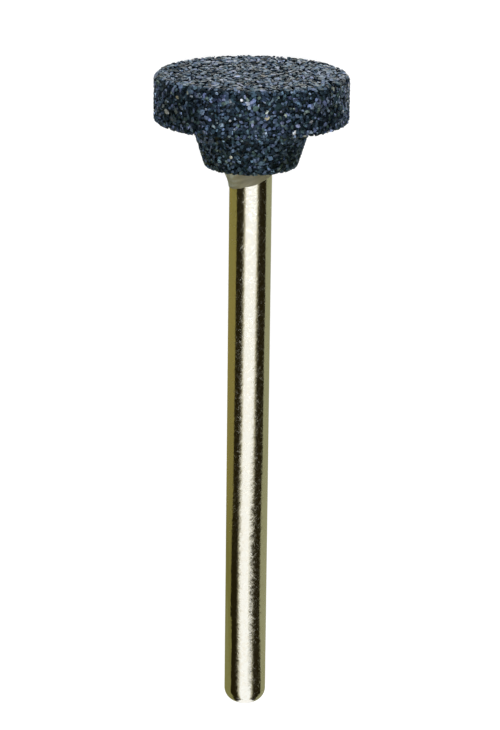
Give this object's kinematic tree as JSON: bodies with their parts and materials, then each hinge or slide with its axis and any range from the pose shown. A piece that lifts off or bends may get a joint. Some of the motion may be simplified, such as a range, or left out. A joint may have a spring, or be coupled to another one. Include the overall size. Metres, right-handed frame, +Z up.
{
  "type": "mounted point",
  "caption": "Mounted grinding point: a thick bonded-grit disc with a tapered hub, cemented on a straight polished steel shank for a rotary tool.",
  "frame": {"origin": "on the surface that the tool lies on, under the middle of its bounding box", "axes": "+Z up from that surface, +Y from the shank's free end towards the head, +X across the tool. The tool's own axis lies in the YZ plane and rises 7.11 degrees towards the head."},
  "size_m": [0.0136, 0.0474, 0.0139],
  "materials": {
    "bonded_grit": "coarse dark blue-grey bonded grit, open and dull",
    "polished_steel": "ground and polished round steel with fine scratches",
    "set_cement": "set olive-grey cement, uneven and half dull"
  },
  "bodies": {
    "root": {"abrasive_head": "bonded_grit", "mandrel": "polished_steel", "cement": "set_cement"}
  },
  "joints": []
}
